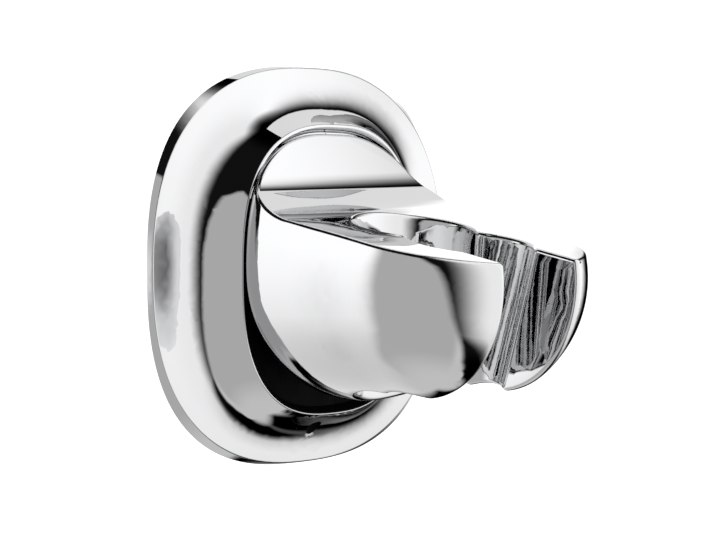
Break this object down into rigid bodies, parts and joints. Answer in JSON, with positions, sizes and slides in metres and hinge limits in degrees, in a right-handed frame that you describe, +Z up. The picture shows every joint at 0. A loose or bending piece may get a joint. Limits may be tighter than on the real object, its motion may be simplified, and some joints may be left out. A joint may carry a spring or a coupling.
{
  "type": "hand shower holder",
  "caption": "Wall-mounted chrome fork on a soft-square trumpet plate, with conical seats in an open slot that hold a hand shower by its hose cone.",
  "frame": {"origin": "middle of the wall plate's back, on the wall", "axes": "+X along the wall to the right as seen from the room, +Y into the wall, +Z up; the fork stands out along -Y"},
  "size_m": [0.076, 0.0692, 0.0802],
  "materials": {
    "chrome_plate": "polished chrome plating",
    "chrome_fork": "polished chrome plating",
    "bracket_metal": "dull die-cast zinc",
    "screw_steel": "bright zinc-plated steel"
  },
  "bodies": {
    "root": {"wall_plate": "chrome_plate", "holder_body": "chrome_fork", "wall_bracket": "bracket_metal", "set_screw": "screw_steel", "body_screws": "screw_steel"}
  },
  "joints": []
}
